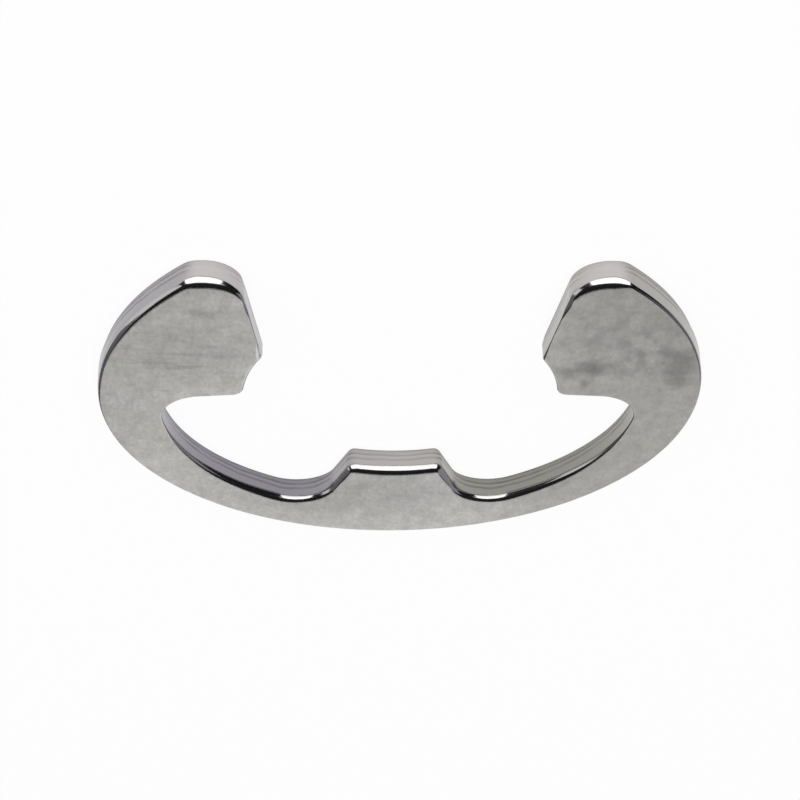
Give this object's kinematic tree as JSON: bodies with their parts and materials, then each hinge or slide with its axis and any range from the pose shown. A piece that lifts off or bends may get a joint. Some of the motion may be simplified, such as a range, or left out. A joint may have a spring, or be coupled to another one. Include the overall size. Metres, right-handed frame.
{
  "type": "e clip",
  "caption": "Flat E-shaped retaining clip stamped from steel strip, open at one side, with a tab and prongs that grip a groove in a shaft.",
  "frame": {"origin": "on the axis of the groove seat, in the plane of the lower face that the clip lies on", "axes": "+Z along the seat's axis, out of the face with the rolled edge; +Y out through the mouth between the prongs; X across the prongs"},
  "size_m": [0.0238, 0.0208, 0.0011],
  "materials": {
    "spring_steel": "tumbled satin, bare spring steel"
  },
  "bodies": {
    "root": {"e_clip": "spring_steel"}
  },
  "joints": []
}
